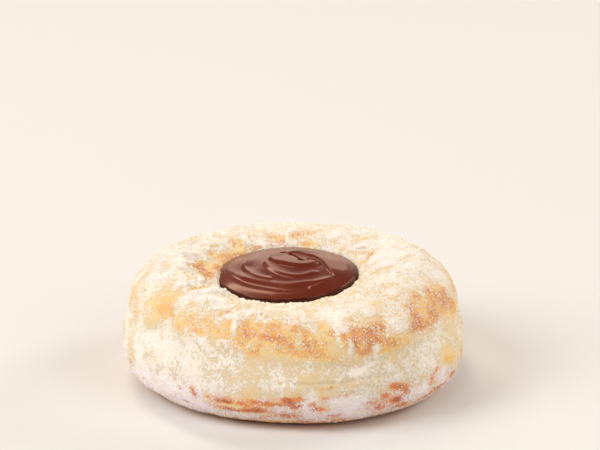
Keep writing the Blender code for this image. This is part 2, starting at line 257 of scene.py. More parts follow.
SCORCHED = (
    # The same for the redder spots of the lower crust.
    # Under the front left.
    (-143, 27.0, 1.4, 0.6, 0.45), (-140, 29.0, 1.3, 1.0, 0.50), (-132, 27.0, 0.9, 0.7, 0.50),
    (-130, 29.0, 0.9, 0.7, 0.60), (-125, 28.0, 0.7, 1.0, 0.60), (-131, 31.0, 1.3, 0.8, 0.65),
    (-128, 27.5, 0.9, 0.7, 0.40), (-124, 29.5, 0.7, 0.7, 0.65), (-119, 29.0, 1.0, 0.7, 0.55),
    (-129, 33.0, 1.8, 0.6, 0.65), (-149, 30.0, 1.6, 0.8, 0.45), (-158, 28.5, 1.4, 0.9, 0.40),
    # Under the front middle.
    (-112, 30.0, 1.2, 0.6, 0.90), (-107, 30.0, 1.6, 0.6, 0.85), (-103, 29.0, 1.4, 0.5, 0.80),
    (-98, 29.2, 2.0, 0.7, 0.65), (-94, 29.2, 1.2, 0.5, 0.75), (-92, 28.0, 1.1, 0.8, 1.00),
    (-90, 29.5, 1.3, 0.9, 0.90), (-114, 32.0, 2.0, 0.6, 0.80), (-111, 32.4, 2.0, 0.5, 0.90),
    (-106, 32.0, 2.4, 0.9, 0.65), (-102, 31.5, 1.8, 0.8, 0.60), (-115, 30.0, 0.9, 0.6, 0.60),
    (-88, 27.0, 1.4, 1.2, 0.35), (-84, 29.0, 0.8, 1.0, 0.80), (-82, 30.4, 1.4, 0.5, 0.75),
    (-82, 24.4, 1.6, 0.7, 0.35), (-80, 27.0, 1.5, 0.7, 0.50), (-73, 27.0, 0.6, 0.6, 0.60),
    (-71, 26.0, 0.9, 0.7, 0.30), (-76, 33.0, 1.9, 0.6, 0.70), (-93, 33.2, 2.4, 0.8, 0.50),
    (-78, 24.2, 1.0, 0.6, 0.35),
    # Under the front right.
    (-57, 26.0, 1.3, 0.7, 0.75), (-55, 27.0, 1.7, 0.8, 0.90), (-52, 28.5, 1.3, 1.1, 1.00),
    (-60, 28.5, 1.2, 1.0, 0.80), (-56, 30.5, 1.7, 0.8, 0.75), (-62, 32.0, 1.5, 0.8, 0.60),
    (-53, 33.5, 2.2, 0.8, 0.80), (-64, 30.0, 1.8, 0.7, 0.40), (-38, 26.0, 0.9, 1.1, 0.75),
    (-40, 27.6, 1.2, 1.3, 0.65), (-41, 29.2, 0.9, 0.8, 0.80), (-31, 32.0, 3.1, 0.8, 0.80),
    (-36, 33.0, 3.9, 0.8, 0.80), (-25, 31.0, 2.7, 0.8, 0.50), (-42, 34.0, 3.0, 0.7, 0.55),
    # The sides and the back.
    (-14, 28.0, 2.2, 1.2, 0.60), (-9, 31.0, 3.6, 0.7, 0.65), (0, 29.5, 1.4, 0.9, 0.50),
    (7, 32.0, 4.4, 0.6, 0.60), (14, 28.0, 1.6, 1.2, 0.45), (21, 30.5, 3.6, 0.7, 0.80),
    (25, 32.5, 4.2, 0.6, 0.60), (36, 28.5, 1.4, 1.2, 0.60), (43, 31.0, 2.8, 0.7, 0.70),
    (50, 29.0, 1.2, 0.8, 0.45), (57, 32.0, 4.8, 0.7, 0.65), (66, 27.5, 1.4, 1.0, 0.40),
    (72, 30.0, 2.6, 0.9, 0.80), (79, 32.5, 3.2, 0.6, 0.60), (88, 29.0, 1.8, 1.4, 0.50),
    (95, 31.5, 4.2, 0.7, 0.70), (104, 28.0, 1.2, 0.9, 0.40), (110, 30.5, 2.4, 0.8, 0.75),
    (118, 32.5, 4.0, 0.6, 0.60), (127, 28.5, 1.6, 1.4, 0.60), (134, 31.0, 3.4, 0.7, 0.65),
    (146, 29.5, 1.6, 0.8, 0.50), (152, 32.0, 4.6, 0.6, 0.65), (164, 28.0, 1.2, 1.0, 0.50),
    (170, 31.0, 2.8, 0.8, 0.65), (-179, 29.5, 1.4, 0.8, 0.45), (-170, 32.0, 3.8, 0.6, 0.55),
)
POWDERED = (
    # The same for places where the sugar lies thick: creases, and lumps of it stuck to the crust.
    (-111, 6.0, 0.9, 1.5, 0.70), (-112, 9.0, 0.8, 1.8, 0.80), (-112, 11.8, 0.7, 1.4, 0.60),
    (-116, 7.2, 1.4, 0.7, 0.50), (-123, 16.0, 1.6, 1.1, 0.70), (-120, 17.3, 1.4, 1.1, 0.60),
    (-71, 3.0, 1.9, 2.6, 0.60), (-73, 7.0, 1.2, 2.0, 0.60), (-74, 11.2, 0.7, 2.2, 0.60),
    (-59, 5.0, 1.2, 1.3, 0.60), (-70, 12.2, 0.6, 1.4, 0.55), (-50, 10.0, 2.0, 1.3, 0.70),
    (-50, 12.3, 1.7, 0.8, 0.50), (-61, 14.6, 1.2, 1.1, 0.70), (-31, 7.2, 1.8, 1.0, 0.60),
    (-34, 8.8, 1.6, 0.7, 0.40), (-8, 10.5, 4.0, 2.0, 0.35), (-82, 8.0, 1.2, 1.7, 0.45),
    (-88, 12.0, 1.2, 1.2, 0.50), (-88, 10.0, 1.5, 0.6, 0.45), (-64, 19.0, 1.8, 1.2, 0.35),
    (-68, 20.5, 2.6, 1.5, 0.35), (-44, 30.2, 3.2, 1.4, 0.55), (-72, 29.0, 5.0, 2.4, 0.25),
    (-137, 30.0, 8.0, 3.6, 0.28), (-122, 31.5, 4.0, 2.4, 0.15), (-146, 27.0, 5.0, 3.0, 0.30),
    (-150, 21.0, 9.0, 4.5, 0.28), (155, -4.5, 9.0, 4.0, 0.42), (-172, -2.0, 6.0, 3.0, 0.20),
    (10, -3.0, 9.0, 6.0, 0.22), (-15, 1.0, 7.0, 4.0, 0.18), (35, 1.0, 8.0, 5.0, 0.12),
    (-128, 21.5, 13.0, 5.0, 0.34), (-119, 26.5, 6.0, 2.6, 0.30), (-51, 24.5, 5.0, 2.6, 0.22),
    (27, -4.5, 5.0, 4.0, 0.25), (-4, -4.0, 5.0, 3.0, 0.22), (148, -2.0, 4.0, 3.0, 0.15),
    (-28, -5.5, 3.0, 2.5, 0.20), (145, -10.0, 2.0, 1.5, 0.30), (-57, 27.0, 3.0, 2.0, 0.20),
    (-125, 12.0, 1.6, 1.5, 0.22),
    (88, -11.0, 1.0, 1.3, 0.60), (18, 9.5, 2.0, 2.4, 0.50), (62, 11.0, 1.6, 3.0, 0.60),
    (90, 10.0, 1.4, 3.4, 0.60), (137, 12.0, 1.6, 3.2, 0.60), (-179, 12.0, 2.0, 2.4, 0.40),
)
RIDGES = (
    # The way each fold of the skin runs, as direction and distance down the skin; its half width in
    # millimetres; and how high it stands, or how deep it lies.
    (((33, -11.0), (34, -8.0), (30, -5.0), (27, -2.0)), 1.5, 0.35),
    (((8, -12.0), (17, -9.5), (22, -6.5), (24, -3.0)), 1.2, -0.40),
    (((3, -12.5), (7, -10.0), (6, -7.0), (5, -4.0), (6, -1.0)), 1.1, 0.40),
    (((-19, -11.5), (-12, -10.0), (-9, -8.0), (-9, -5.0), (-10, -2.0)), 0.9, 0.45),
    (((-16, -9.5), (-13, -6.5), (-14, -3.0)), 0.9, -0.40),
    (((-124, -11.5), (-128, -7.0), (-129, -1.0), (-134, 2.5), (-139, 5.5)), 0.9, 0.55),
    (((-129, -8.0), (-133, -3.5), (-137, 1.5), (-142, 4.5)), 0.8, -0.45),
    (((-152, -6.0), (-141, -1.0), (-144, 3.0), (-148, 6.5)), 0.9, 0.45),
    (((-166, -9.5), (-149, -1.5), (-151, 2.5), (-154, 5.0)), 0.8, -0.35),
    (((-170, -4.0), (-162, -0.5), (-160, 3.0), (-162, 8.0)), 1.1, 0.40),
    (((177, -11.0), (-177, -7.5), (-170, -3.5)), 0.9, -0.45),
    (((158, -11.0), (165, -7.0), (171, -3.0), (176, 1.0)), 1.2, 0.40),
    (((-119, -1.0), (-124, 2.0), (-129, 3.5), (-134, 5.0)), 0.8, 0.30),
    (((-116, 3.5), (-118, 5.6), (-121, 6.4)), 0.7, -0.30),
    (((-110, 3.0), (-112, 7.0), (-112, 10.0), (-111, 13.0)), 0.8, 0.35),
    (((62, -10.0), (60, -6.0), (63, -1.0)), 1.1, 0.35),
    (((88, -12.0), (90, -8.0), (88, -2.0), (90, 3.0)), 1.2, 0.35),
    (((118, -11.0), (120, -7.0), (117, -2.0)), 1.1, 0.35),
    (((139, -11.0), (140, -6.0), (137, -1.0), (138, 4.0)), 1.0, 0.40),
)
# Where each part of the skin begins and ends to show, in millimetres down the skin from the crest.
TOP_FADES = (14.0, 19.0)
BAND_BEGINS = (15.0, 19.0)
BAND_FADES = (25.0, 30.0)
LOWER_CRUST_BEGINS = (25.5, 29.5)
FOOT_BEGINS = (34.0, 41.0)
CREAM_LINE = -14.9
CREAM_LINE_HALF_WIDTH = 1.1
SPOT_STRENGTH = 1.35
SKIN_LUMPS = (
    # Width of the skin's lumps, their height, and the seed of their noise.
    (7.0, 0.20, 31),
    (3.4, 0.18, 32),
)
CAKING = (
    # The same for the lumps of the caked sugar.
    (1.5, 0.16, 34),
    (0.9, 0.13, 35),
)
BAND_CREASE_DOWN = 22.6
BAND_CREASE_DEPTH = 0.35
BAND_CREASE_HALF_WIDTH = 0.45
SWELLINGS = (
    # Direction, distance down the skin, half width, half height, and how far the skin stands proud of
    # the CAD dough there, or lies below it.
    (-90, -3.0, 17.0, 7.0, -1.5),
    (177, -14.0, 6.5, 3.2, 1.9),
)
GRAIN_DEPTH = 0.25


def smooth_step(value, low, high):
    """0 below low, 1 above high, and an even S curve between them: three times the square of the share of
    the way, less twice its cube."""
    share = np.clip((value - low) / (high - low), 0.0, 1.0)
    return share * share * (3.0 - 2.0 * share)


def rounded_outline(stations, pieces):
    """A Catmull-Rom curve through the stations, each span cut into that many pieces."""
    points = np.array(stations, float)
    ends = np.vstack([2 * points[0] - points[1], points, 2 * points[-1] - points[-2]])
    outline = [points[:1]]
    for i, count in enumerate(pieces):
        before, start, stop, after = ends[i : i + 4]
        t = np.arange(1, count + 1)[:, None] / count
        bend = (2 * before - 5 * start + 4 * stop - after) * t**2
        turn = (-before + 3 * start - 3 * stop + after) * t**3
        outline.append(0.5 * (2 * start + (stop - before) * t + bend + turn))
    return np.vstack(outline)


def lattice_noise(x, y, z, size, seed):
    """Smooth random values between -1 and 1: a random number at each corner of a cubic lattice of that
    size, and an S-curve blend of the eight corners round each point."""
    numbers = np.random.default_rng(seed).uniform(-1.0, 1.0, 8192)
    place = np.stack([x, y, z]) / size + 500.0
    cell = np.floor(place).astype(np.int64)
    share = smooth_step(place - cell, 0.0, 1.0)
    total = np.zeros(np.shape(x))
    for corner in itertools.product((0, 1), repeat=3):
        i, j, k = (cell[axis] + corner[axis] for axis in range(3))
        key = (i * 73856093) ^ (j * 19349663) ^ (k * 83492791)
        weight = np.ones(np.shape(x))
        for axis in range(3):
            weight = weight * (share[axis] if corner[axis] else 1.0 - share[axis])
        total += weight * numbers[key % 8192]
    return total


def layered_noise(x, y, z, size, layers, seed):
    """Lattice noise summed over layers, each half the size and half the height of the one before."""
    total = np.zeros(np.shape(x))
    for layer in range(layers):
        total += lattice_noise(x, y, z, size / 2**layer, seed + layer) / 2**layer
    return total


def bell(apart, half_width):
    """1 in the middle and falling off to both sides: e to the power of minus the square of the distance
    over the half width."""
    return np.exp(-((apart / half_width) ** 2))


def angle_gap(angle, middle_degrees):
    """The signed angle from a direction given in degrees, in radians, between -pi and pi."""
    return (angle - math.radians(middle_degrees) + math.pi) % (2 * math.pi) - math.pi


def spots(angle, down, reach, places):
    """The sum of soft oval spots, each a Gaussian of the way round and the way down the skin."""
    total = np.zeros(np.shape(angle))
    for direction, depth, half_width, half_height, strength in places:
        sideways = angle_gap(angle, direction) * reach / half_width
        total += strength * np.exp(-(sideways**2) - ((down - depth) / half_height) ** 2)
    return total


def beside(x, y, path):
    """How far each point lies from a smooth curve through the path's points, positive on the left of its
    way, and how far along the curve the nearest place is, from 0 to 1: the nearest of its short pieces."""
    curve = rounded_outline(path, [5] * (len(path) - 1))
    nearest = np.full(x.shape, np.inf)
    side = np.zeros(x.shape)
    along = np.zeros(x.shape)
    for piece in range(len(curve) - 1):
        start, stop = curve[piece], curve[piece + 1]
        way = stop - start
        share = np.clip(((x - start[0]) * way[0] + (y - start[1]) * way[1]) / (way @ way), 0.0, 1.0)
        apart = np.hypot(x - start[0] - share * way[0], y - start[1] - share * way[1])
        closer = apart < nearest
        nearest = np.where(closer, apart, nearest)
        turned_left = way[0] * (y - start[1]) - way[1] * (x - start[0]) > 0
        side = np.where(closer, np.where(turned_left, 1.0, -1.0), side)
        along = np.where(closer, (piece + share) / (len(curve) - 1), along)
    return nearest * side, along


def folded(angle, down, reach, ridges):
    """The sum of long rounded folds: a Gaussian of the distance from each fold's line, with soft ends. The
    skin near a fold is laid flat, the way round it measured at the fold's own distance from the axis."""
    total = np.zeros(np.shape(angle))
    for path, half_width, height in ridges:
        middle = path[len(path) // 2][0]
        radius = np.interp(path[len(path) // 2][1], down[:, 0], reach[:, 0])
        flat = [(radius * angle_gap(math.radians(place[0]), middle), place[1]) for place in path]
        apart, along = beside(radius * angle_gap(angle, middle), down, flat)
        ends = smooth_step(along, 0.0, 0.25) * (1.0 - smooth_step(along, 0.7, 1.0))
        total += height * ends * bell(apart, half_width)
    return total


def settled(x, y, z):
    """The lopsidedness that dough and cream share: near the well, x moves by the well's offset, and z
    rises by a share of x and a share of y. Both fade out with the distance from the axis."""
    radius = np.hypot(x, y)
    near_well = 1.0 - smooth_step(radius, WELL_RADIUS, 40.0)
    share = (1.0 - smooth_step(radius, WELL_RADIUS, 30.0)) * smooth_step(z, 4.0, 24.0)
    lean = share * (LEAN_TO_LEFT * x + LEAN_TO_FRONT * y)
    return x + WELL_OFFSET_X * near_well, y, z + lean


def dough_body(x, y, z):
    """The turned dough made uneven as the CAD dough is: sines of the angle put it out of round, wave its
    waist and lump its crest, and each pucker lowers it by a bell curve of the angle."""
    angle = np.arctan2(y, x)
    radius = np.hypot(x, y)
    outer = smooth_step(radius, 22.0, 42.0)
    oval = 1.0 + outer * (
        -0.014 * np.sin(2 * angle)
        - 0.008 * np.cos(2 * angle)
        - 0.017 * np.sin(3 * angle)
        - 0.006 * np.cos(3 * angle)
        + 0.003 * np.sin(5 * angle + 1.0)
        + 0.002 * np.cos(9 * angle)
    )
    waist = smooth_step(radius, 40.0, 42.0) * bell(z - WAIST_HEIGHT, 6.0)
    wave = waist * (0.9 * np.sin(2 * angle + 0.6) + 0.5 * np.sin(5 * angle))
    ring = smooth_step(z, 14.0, 28.0) * smooth_step(radius, WELL_RADIUS + 1.0, 30.0)
    saddle = 1.2 * np.cos(2 * angle) + 0.5 * np.sin(2 * angle)
    lumps = ring * (saddle + 0.3 * np.sin(3 * angle + 2.1) + 0.25 * np.sin(7 * angle + 0.5))
    pucker = np.zeros(np.shape(x))
    for direction, width, depth in PUCKERS:
        pucker += depth * bell(angle_gap(angle, direction), math.radians(width))
    pucker *= smooth_step(radius, WELL_RADIUS - 1.0, WELL_RADIUS + 3.0)
    pucker *= (1.0 - smooth_step(radius, 26.0, 41.0)) * smooth_step(z, 18.0, 26.0)
    return settled(x * oval, y * oval, z + wave + lumps - pucker)


def grid_normals(x, y, z):
    """Unit normals of a grid whose rows go round the axis and whose columns go down the skin: the cross
    product of the two central differences."""
    place = np.stack([x, y, z], axis=-1)
    along = np.roll(place, -1, axis=1) - np.roll(place, 1, axis=1)
    down = np.gradient(place, axis=0)
    normal = np.cross(down, along)
    return normal / np.maximum(np.linalg.norm(normal, axis=-1, keepdims=True), 1e-12)


def ring_faces(rows, columns):
    """Quads between neighbouring rows of a closed ring grid, and the two fans that close its ends. The
    vertices are the rows in turn, then the first pole and the last pole."""
    row, column = np.meshgrid(np.arange(rows - 1), np.arange(columns), indexing="ij")
    here = (row * columns + column).ravel()
    onward = (row * columns + (column + 1) % columns).ravel()
    quads = np.stack([here, here + columns, onward + columns, onward], axis=1)
    ring = np.arange(columns)
    ring_onward = (ring + 1) % columns
    pole = np.full(columns, rows * columns)
    first_fan = np.stack([pole, ring, ring_onward], axis=1)
    last_row = (rows - 1) * columns
    last_fan = np.stack([pole + 1, last_row + ring_onward, last_row + ring], axis=1)
    return quads.tolist() + first_fan.tolist() + last_fan.tolist()


def mesh_piece(name, places, faces, finish, values=(), smooth=True):
    """An object from an array of places in millimetres, with one float attribute a value."""
    mesh = bpy.data.meshes.new(name)
    mesh.from_pydata((places * MM).tolist(), [], faces)
    for value_name, value in values:
        attribute = mesh.attributes.new(value_name, "FLOAT", "POINT")
        attribute.data.foreach_set("value", np.ascontiguousarray(value, dtype=np.float32))
    mesh.materials.append(finish)
    if smooth:
        mesh.shade_smooth()
    piece = bpy.data.objects.new(name, mesh)
    bpy.context.scene.collection.objects.link(piece)
    return piece


class Finish:
    """A Principled material whose nodes are added one after another."""

    def __init__(self, name):
        self.material = bpy.data.materials.new(name)
        self.material.use_nodes = True
        self.tree = self.material.node_tree
        self.shader = self.tree.nodes["Principled BSDF"]
        self.object_place = self.add("ShaderNodeTexCoord").outputs["Object"]

    def add(self, kind, links=(), **settings):
        """A node with its settings, and a value or a link on each socket named."""
        node = self.tree.nodes.new(kind)
        for key, value in settings.items():
            setattr(node, key, value)
        for socket, value in links:
            if isinstance(value, bpy.types.NodeSocket):
                self.tree.links.new(value, node.inputs[socket])
            else:
                node.inputs[socket].default_value = value
        return node

    def value(self, name):
        """A float attribute of the mesh."""
        return self.add("ShaderNodeAttribute", attribute_name=name).outputs["Fac"]

    def height(self):
        """The height above the floor, in metres."""
        return self.add("ShaderNodeSeparateXYZ", ((0, self.object_place),)).outputs["Z"]

    def noise(self, size_mm, detail=2.0, roughness=0.5):
        """Noise whose features are about that many millimetres wide."""
        links = (("Vector", self.object_place), ("Scale", 1000.0 / size_mm), ("Detail", detail))
        return self.add("ShaderNodeTexNoise", (*links, ("Roughness", roughness))).outputs["Fac"]

    def math(self, operation, a, b=0.0, c=0.0):
        """One arithmetic step on up to three values or links."""
        links = ((0, a), (1, b), (2, c))
        return self.add("ShaderNodeMath", links, operation=operation).outputs[0]

    def step(self, value, low, high):
        """0 below low, 1 above high."""
        links = (("Value", value), ("From Min", low), ("From Max", high))
        node = self.add("ShaderNodeMapRange", links, interpolation_type="SMOOTHSTEP")
        return node.outputs["Result"]

    def weighed(self, base, *shares):
        """A base, plus each value times its weight."""
        total = base
        for value, weight in shares:
            total = self.math("MULTIPLY_ADD", value, weight, total)
        return total

    def mix(self, share, a, b):
        """Colour a where share is 0 and colour b where it is 1."""
        node = self.add("ShaderNodeMix", data_type="RGBA")
        for index, value in ((0, share), (6, a), (7, b)):
            if isinstance(value, bpy.types.NodeSocket):
                self.tree.links.new(value, node.inputs[index])
            elif index:
                node.inputs[index].default_value = (*value, 1.0)
            else:
                node.inputs[index].default_value = value
        return node.outputs[2]

    def ramp(self, value, stops):
        """Colours blended along a value; each stop is a position and a colour."""
        node = self.add("ShaderNodeValToRGB", ((0, value),))
        elements = node.color_ramp.elements
        elements[0].position, elements[0].color = stops[0][0], (*stops[0][1], 1.0)
        elements[1].position, elements[1].color = stops[-1][0], (*stops[-1][1], 1.0)
        for position, colour in stops[1:-1]:
            elements.new(position).color = (*colour, 1.0)
        return node.outputs["Color"]

    def bump(self, height, height_mm):
        """Relief on the shader's normal, where a height of 1 is that many millimetres."""
        links = (("Height", height), ("Distance", height_mm * MM), ("Strength", 1.0))
        node = self.add("ShaderNodeBump", links)
        self.tree.links.new(node.outputs["Normal"], self.shader.inputs["Normal"])

    def set(self, **inputs):
        """Plain values and links on the shader's own sockets, underscores for spaces."""
        for key, value in inputs.items():
            socket = self.shader.inputs[key.replace("_", " ")]
            if isinstance(value, bpy.types.NodeSocket):
                self.tree.links.new(value, socket)
            else:
                socket.default_value = value


PALE_DOUGH = (0.82, 0.63, 0.335)
STRAW = (0.88, 0.66, 0.32)
YELLOW_GOLD = (0.90, 0.56, 0.145)
GOLDEN = (0.83, 0.37, 0.068)
ORANGE_BROWN = (0.67, 0.205, 0.032)
SCORCHED_ORANGE = (0.80, 0.265, 0.065)
SCORCHED_RED = (0.42, 0.10, 0.042)
SUGAR_WHITE = (0.965, 0.92, 0.89)
WARM_SUGAR = (0.985, 0.905, 0.815)
# Pinkish sugar, painted light: the tint of a cooler light falling on the foot from below.
SUGAR_IN_PAINTED_COOL_LIGHT = (0.98, 0.91, 0.97)
BROWNING = (
    # How far the dough is browned, and its colour.
    (0.0, PALE_DOUGH),
    (0.28, STRAW),
    (0.50, YELLOW_GOLD),
    (0.74, GOLDEN),
    (1.0, ORANGE_BROWN),
)
SUGAR_COLOURS_AND_PAINTED_LIGHT = (
    # Height above the table as a share of the crest's, and the sugar's colour: whitest at the top, and
    # pinkish at the foot, which is painted light, a cool tint standing in for the cooler light that falls
    # there from below.
    (0.22, SUGAR_IN_PAINTED_COOL_LIGHT),
    (0.45, WARM_SUGAR),
    (0.86, WARM_SUGAR),
    (1.0, SUGAR_WHITE),
)
BLOTCH_WIDTH = 2.6
SPECK_WIDTH = 0.85
GRAIN_WIDTH = 0.42
FILM_STRENGTH = 0.33
DUST_STRENGTH = 0.88
CRUST_BUMP_HEIGHT = 0.20

crust = Finish("fried_crust")
browned = crust.value("browned")
scorched = crust.value("scorched")
sugared = crust.value("sugared")
blotch = crust.noise(BLOTCH_WIDTH, detail=4.0)
speck = crust.noise(SPECK_WIDTH, detail=3.0, roughness=0.65)
grain = crust.noise(GRAIN_WIDTH, detail=2.0, roughness=0.7)
# The base takes half of each weight off, because noise varies round one half.
uneven = crust.weighed(-1.30, (speck, 1.3), (blotch, 0.4), (grain, 0.9))
crust_colour = crust.ramp(crust.math("ADD", browned, uneven), BROWNING)
scorch = crust.math("ADD", scorched, uneven)
red_share = crust.step(scorch, 0.10, 0.60)
red = crust.mix(crust.step(scorch, 0.65, 1.25), SCORCHED_ORANGE, SCORCHED_RED)
crust_colour = crust.mix(red_share, crust_colour, red)
# Painted light: low on the crust the sugar's colour turns pinkish, a tint for the cooler light from below.
sugar_colour_and_painted_light = crust.ramp(crust.math("DIVIDE", crust.height(), CREST_HEIGHT * MM), SUGAR_COLOURS_AND_PAINTED_LIGHT)
film = crust.math("MULTIPLY", sugared, FILM_STRENGTH)
crust_colour = crust.mix(film, crust_colour, sugar_colour_and_painted_light)
cover = crust.weighed(-1.01, (speck, 0.70), (grain, 0.90), (sugared, 0.42))
dusted = crust.step(cover, -0.04, 0.04)
dust_share = crust.math("MULTIPLY", dusted, DUST_STRENGTH)
crust.set(Base_Color=crust.mix(dust_share, crust_colour, sugar_colour_and_painted_light))
crust.set(Roughness=crust.weighed(0.55, (dusted, 0.30)))
crust.set(Subsurface_Weight=0.3, Subsurface_Radius=(1.0, 0.7, 0.45), Subsurface_Scale=0.0015)
crust.set(Specular_IOR_Level=0.35)
crust.bump(crust.math("MULTIPLY_ADD", grain, 0.6, crust.math("MULTIPLY", dusted, 0.5)), CRUST_BUMP_HEIGHT)

spans = np.array([station[:2] for station in OUTLINE])
lengths = np.hypot(*np.diff(spans, axis=0).T)
steps = [CRUST_STEP if station[2] else HIDDEN_STEP for station in OUTLINE[:-1]]
pieces = [max(1, round(length / step)) for length, step in zip(lengths, steps)]
outline = rounded_outline(spans, pieces)
outline[:, 1] = np.maximum(outline[:, 1], 0.0)
travelled = np.concatenate([[0.0], np.cumsum(np.hypot(*np.diff(outline, axis=0).T))])
travelled -= travelled[sum(pieces[:CREST_STATION])]

turn = np.arange(ROUND_STEPS) / ROUND_STEPS * 2 * math.pi
down, angle = np.meshgrid(travelled[1:-1], turn, indexing="ij")
reach = np.broadcast_to(outline[1:-1, :1], angle.shape)
height = np.broadcast_to(outline[1:-1, 1:], angle.shape)
x, y, z = dough_body(reach * np.cos(angle), reach * np.sin(angle), height)

browned_spots = spots(angle, down, reach, BROWNED)
scorched_spots = spots(angle, down, reach, SCORCHED)
powder_spots = spots(angle, down, reach, POWDERED)
bare_spots = spots(angle, down, reach, BARE)
folds = folded(angle, down, reach, RIDGES)
browned_spots = 1.0 - np.exp(-SPOT_STRENGTH * browned_spots)
scorched_spots = 1.0 - np.exp(-SPOT_STRENGTH * scorched_spots)
top_share = 1.0 - smooth_step(down, *TOP_FADES)
band_share = smooth_step(down, *BAND_BEGINS) * (1.0 - smooth_step(down, *BAND_FADES))
lower_share = smooth_step(down, *LOWER_CRUST_BEGINS)
foot_share = smooth_step(down, *FOOT_BEGINS)
broad = layered_noise(x, y, z, 9.0, 2, 11)
middling = layered_noise(x, y, z, 3.6, 3, 21)
wet_edge = bell(down - CREAM_LINE, CREAM_LINE_HALF_WIDTH) * (0.75 + 0.5 * middling)

# Browned most in the spots and where the sugar fell off, least on the folds; the numbers are shares.
browned_field = 0.34 * top_share + 0.68 * browned_spots * (1.0 + 0.25 * middling) + 0.12 * broad
browned_field = browned_field + 0.18 * middling + 0.35 * bare_spots - 0.5 * folds
browned_field = browned_field + 0.10 * band_share + 0.65 * foot_share + 0.25 * lower_share + wet_edge
browned_field = np.clip(browned_field, 0.0, 1.0)

# Scorched in level streaks, because the fat's surface stood there.
streaks = lattice_noise(x / 4.5, y / 4.5, down / 1.1, 1.0, 24) + 0.5 * middling
scorched_field = scorched_spots * (1.0 + 0.7 * streaks) + 0.40 * lower_share * (1.0 + 1.2 * streaks)
scorched_field = np.clip(scorched_field, 0.0, 1.0)

# Sugared most on the top and the folds, least where the crust is browned or wet with cream.
sugared_field = 0.59 * top_share + 0.42 * band_share + 0.60 * lower_share + powder_spots
sugared_field += 0.16 * broad + 0.32 * middling - 0.45 * foot_share + 1.0 * folds
sugared_field -= 0.62 * browned_spots + 0.62 * scorched_spots + bare_spots + 0.8 * wet_edge
sugared_field = np.clip(sugared_field, 0.26 * top_share, 1.0)

normals = grid_normals(x, y, z)
skin_share = smooth_step(down, -14.5, -12.0) * (1.0 - smooth_step(down, 36.0, 40.0))
lumpiness = sum(height * lattice_noise(x, y, z, width, seed) for width, height, seed in SKIN_LUMPS)
# The wrinkles run down the skin, so their noise is narrow round the axis and long down the skin.
stretched = reach / (2.2 + 0.05 * reach)
across = (np.cos(angle) * stretched * 2.4, np.sin(angle) * stretched * 2.4)
creases = lattice_noise(*across, down / 7.0, 1.0, 33)
fold_share = smooth_step(down, -15.0, -10.0) * (1.0 - smooth_step(down, 0.0, 9.0))
wrinkles = 1.4 * folds + 0.5 * fold_share * (0.35 - np.abs(creases))
caked = sum(height * lattice_noise(x, y, z, width, seed) for width, height, seed in CAKING)
# A level crease comes and goes in the pale band.
off_crease = down - BAND_CREASE_DOWN - 0.5 * np.sin(3 * angle) - 0.5 * lattice_noise(x, y, z, 6.0, 36)
crease = BAND_CREASE_DEPTH * bell(off_crease, BAND_CREASE_HALF_WIDTH)
crease = crease * smooth_step(lattice_noise(x, y, z, 14.0, 37), -0.2, 0.3)
relief = lumpiness + wrinkles + caked * (0.35 + 0.65 * sugared_field) + 0.2 * powder_spots - crease
swollen = spots(angle, down, reach, SWELLINGS) * smooth_step(down, -19.0, -15.0)
lifted = (relief - GRAIN_DEPTH) * skin_share + swollen
x = x + normals[..., 0] * lifted
y = y + normals[..., 1] * lifted
z = np.maximum(z + normals[..., 2] * lifted, 0.0)
normals = grid_normals(x, y, z)

rows, columns = x.shape
places = np.stack([x, y, z], axis=-1).reshape(-1, 3)
poles = np.array([[WELL_OFFSET_X, 0.0, WELL_FLOOR_HEIGHT], [0.0, 0.0, 0.0]])


def with_poles(field):
    """The field's values in the order of the vertices, each pole taking the mean of its nearest row."""
    return np.concatenate([field.ravel(), [field[0].mean(), field[-1].mean()]])


dough = mesh_piece(
    "dough_crust",
    np.vstack([places, poles]),
    ring_faces(rows, columns),
    crust.material,
    (
        ("browned", with_poles(browned_field)),
        ("scorched", with_poles(scorched_field)),
        ("sugared", with_poles(sugared_field)),
    ),
)
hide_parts("dough")
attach(dough, "root")


# The sugar: the hot doughnut was rolled in fine sugar. Powder and small crystals cling to the crust,
# thick in the creases and thin on the browned swellings. Damp lumps of it lie on the rim of the well.
RIM_LUMPS_HALF_WIDTH = 1.4
# Of each kind: how many, the least half width and how much more the largest has, how far the middle
# lies above the skin as a share of the half width, the most that a grain is stretched, and the seed.
POWDER_GRAINS = {"count": 16000, "least": 0.10, "spread": 0.16, "raised": 0.2, "stretch": 0.3, "seed": 101}
CRYSTAL_GRAINS = {"count": 7000, "least": 0.11, "spread": 0.15, "raised": 0.2, "stretch": 0.25, "seed": 102}
LUMP_GRAINS = {"count": 270, "least": 0.28, "spread": 0.34, "raised": 0.0, "stretch": 0.3, "seed": 103}


def scattered(count, weight, seed):
    """Places and normals of points thrown on the skin: a cell of the grid, whose chance is its area times
    its weight, and an even random place within that cell."""
    draw = np.random.default_rng(seed)
    place = np.stack([x, y, z], axis=-1)
    across = np.roll(place, -1, axis=1)[:-1] - place[:-1]
    along = place[1:] - place[:-1]
    area = np.linalg.norm(np.cross(across, along), axis=-1)
    chance = (area * weight[:-1]).ravel()
    cell = draw.choice(chance.size, count, p=chance / chance.sum())
    row, column = np.divmod(cell, columns)
    s, t = draw.uniform(0, 1, (2, count, 1))
    spot = place[row, column] + s * across[row, column] + t * along[row, column]
    return spot, normals[row, column], draw


